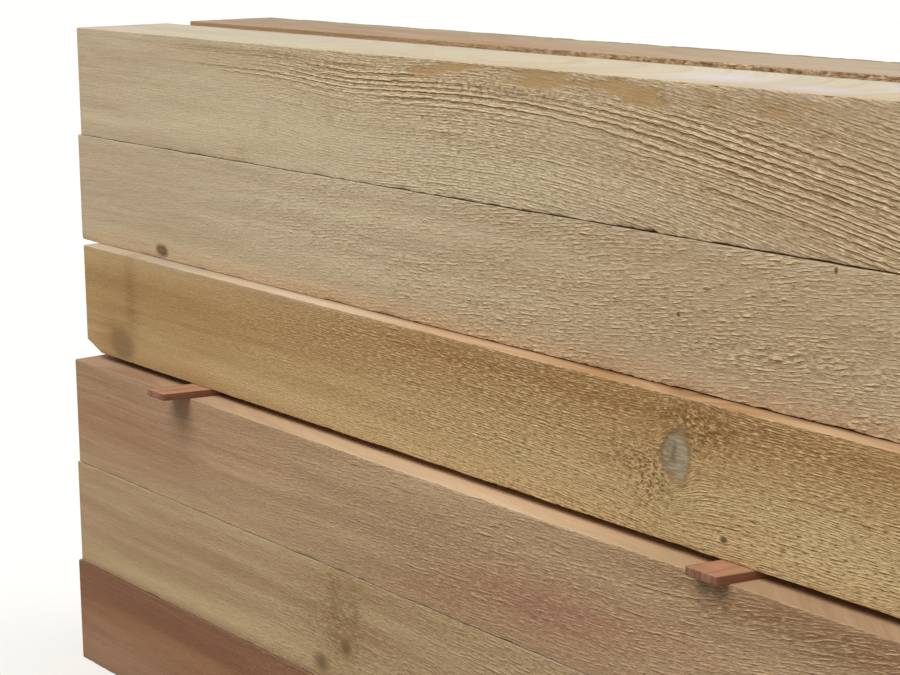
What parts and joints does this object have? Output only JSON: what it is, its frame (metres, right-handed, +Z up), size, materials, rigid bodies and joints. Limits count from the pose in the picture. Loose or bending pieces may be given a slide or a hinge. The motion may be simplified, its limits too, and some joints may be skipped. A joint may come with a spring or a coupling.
{
  "type": "stack of lumber",
  "caption": "Stack of square rough-sawn cedar posts, laid flat in lifts with thin laths between them, as stored in a yard or on a building site.",
  "frame": {"origin": "under the middle of the stack, on the surface that the lowest posts rest on", "axes": "+X along the posts from their far ends to their near ends, +Y from the front of the stack to its rear, +Z up"},
  "size_m": [2.482, 0.2576, 0.6093],
  "materials": {
    "pale_cedar": "rough sawn sides, planed top and underside, unfinished",
    "golden_cedar": "rough sawn sides, planed top and underside, unfinished",
    "brown_cedar": "rough sawn sides, planed top and underside, unfinished",
    "red_cedar": "rough sawn sides, planed top and underside, unfinished",
    "lath_cedar": "sawn, unfinished"
  },
  "bodies": {
    "root": {"front_post_1": "red_cedar", "front_post_2": "brown_cedar", "front_post_3": "red_cedar", "front_post_4": "golden_cedar", "front_post_5": "pale_cedar", "front_post_6": "pale_cedar", "rear_post_1": "brown_cedar", "rear_post_2": "red_cedar", "rear_post_3": "brown_cedar", "rear_post_4": "pale_cedar", "rear_post_5": "golden_cedar", "rear_post_6": "brown_cedar", "lath_1": "lath_cedar", "lath_2": "lath_cedar", "lath_3": "lath_cedar", "lath_4": "lath_cedar"}
  },
  "joints": []
}
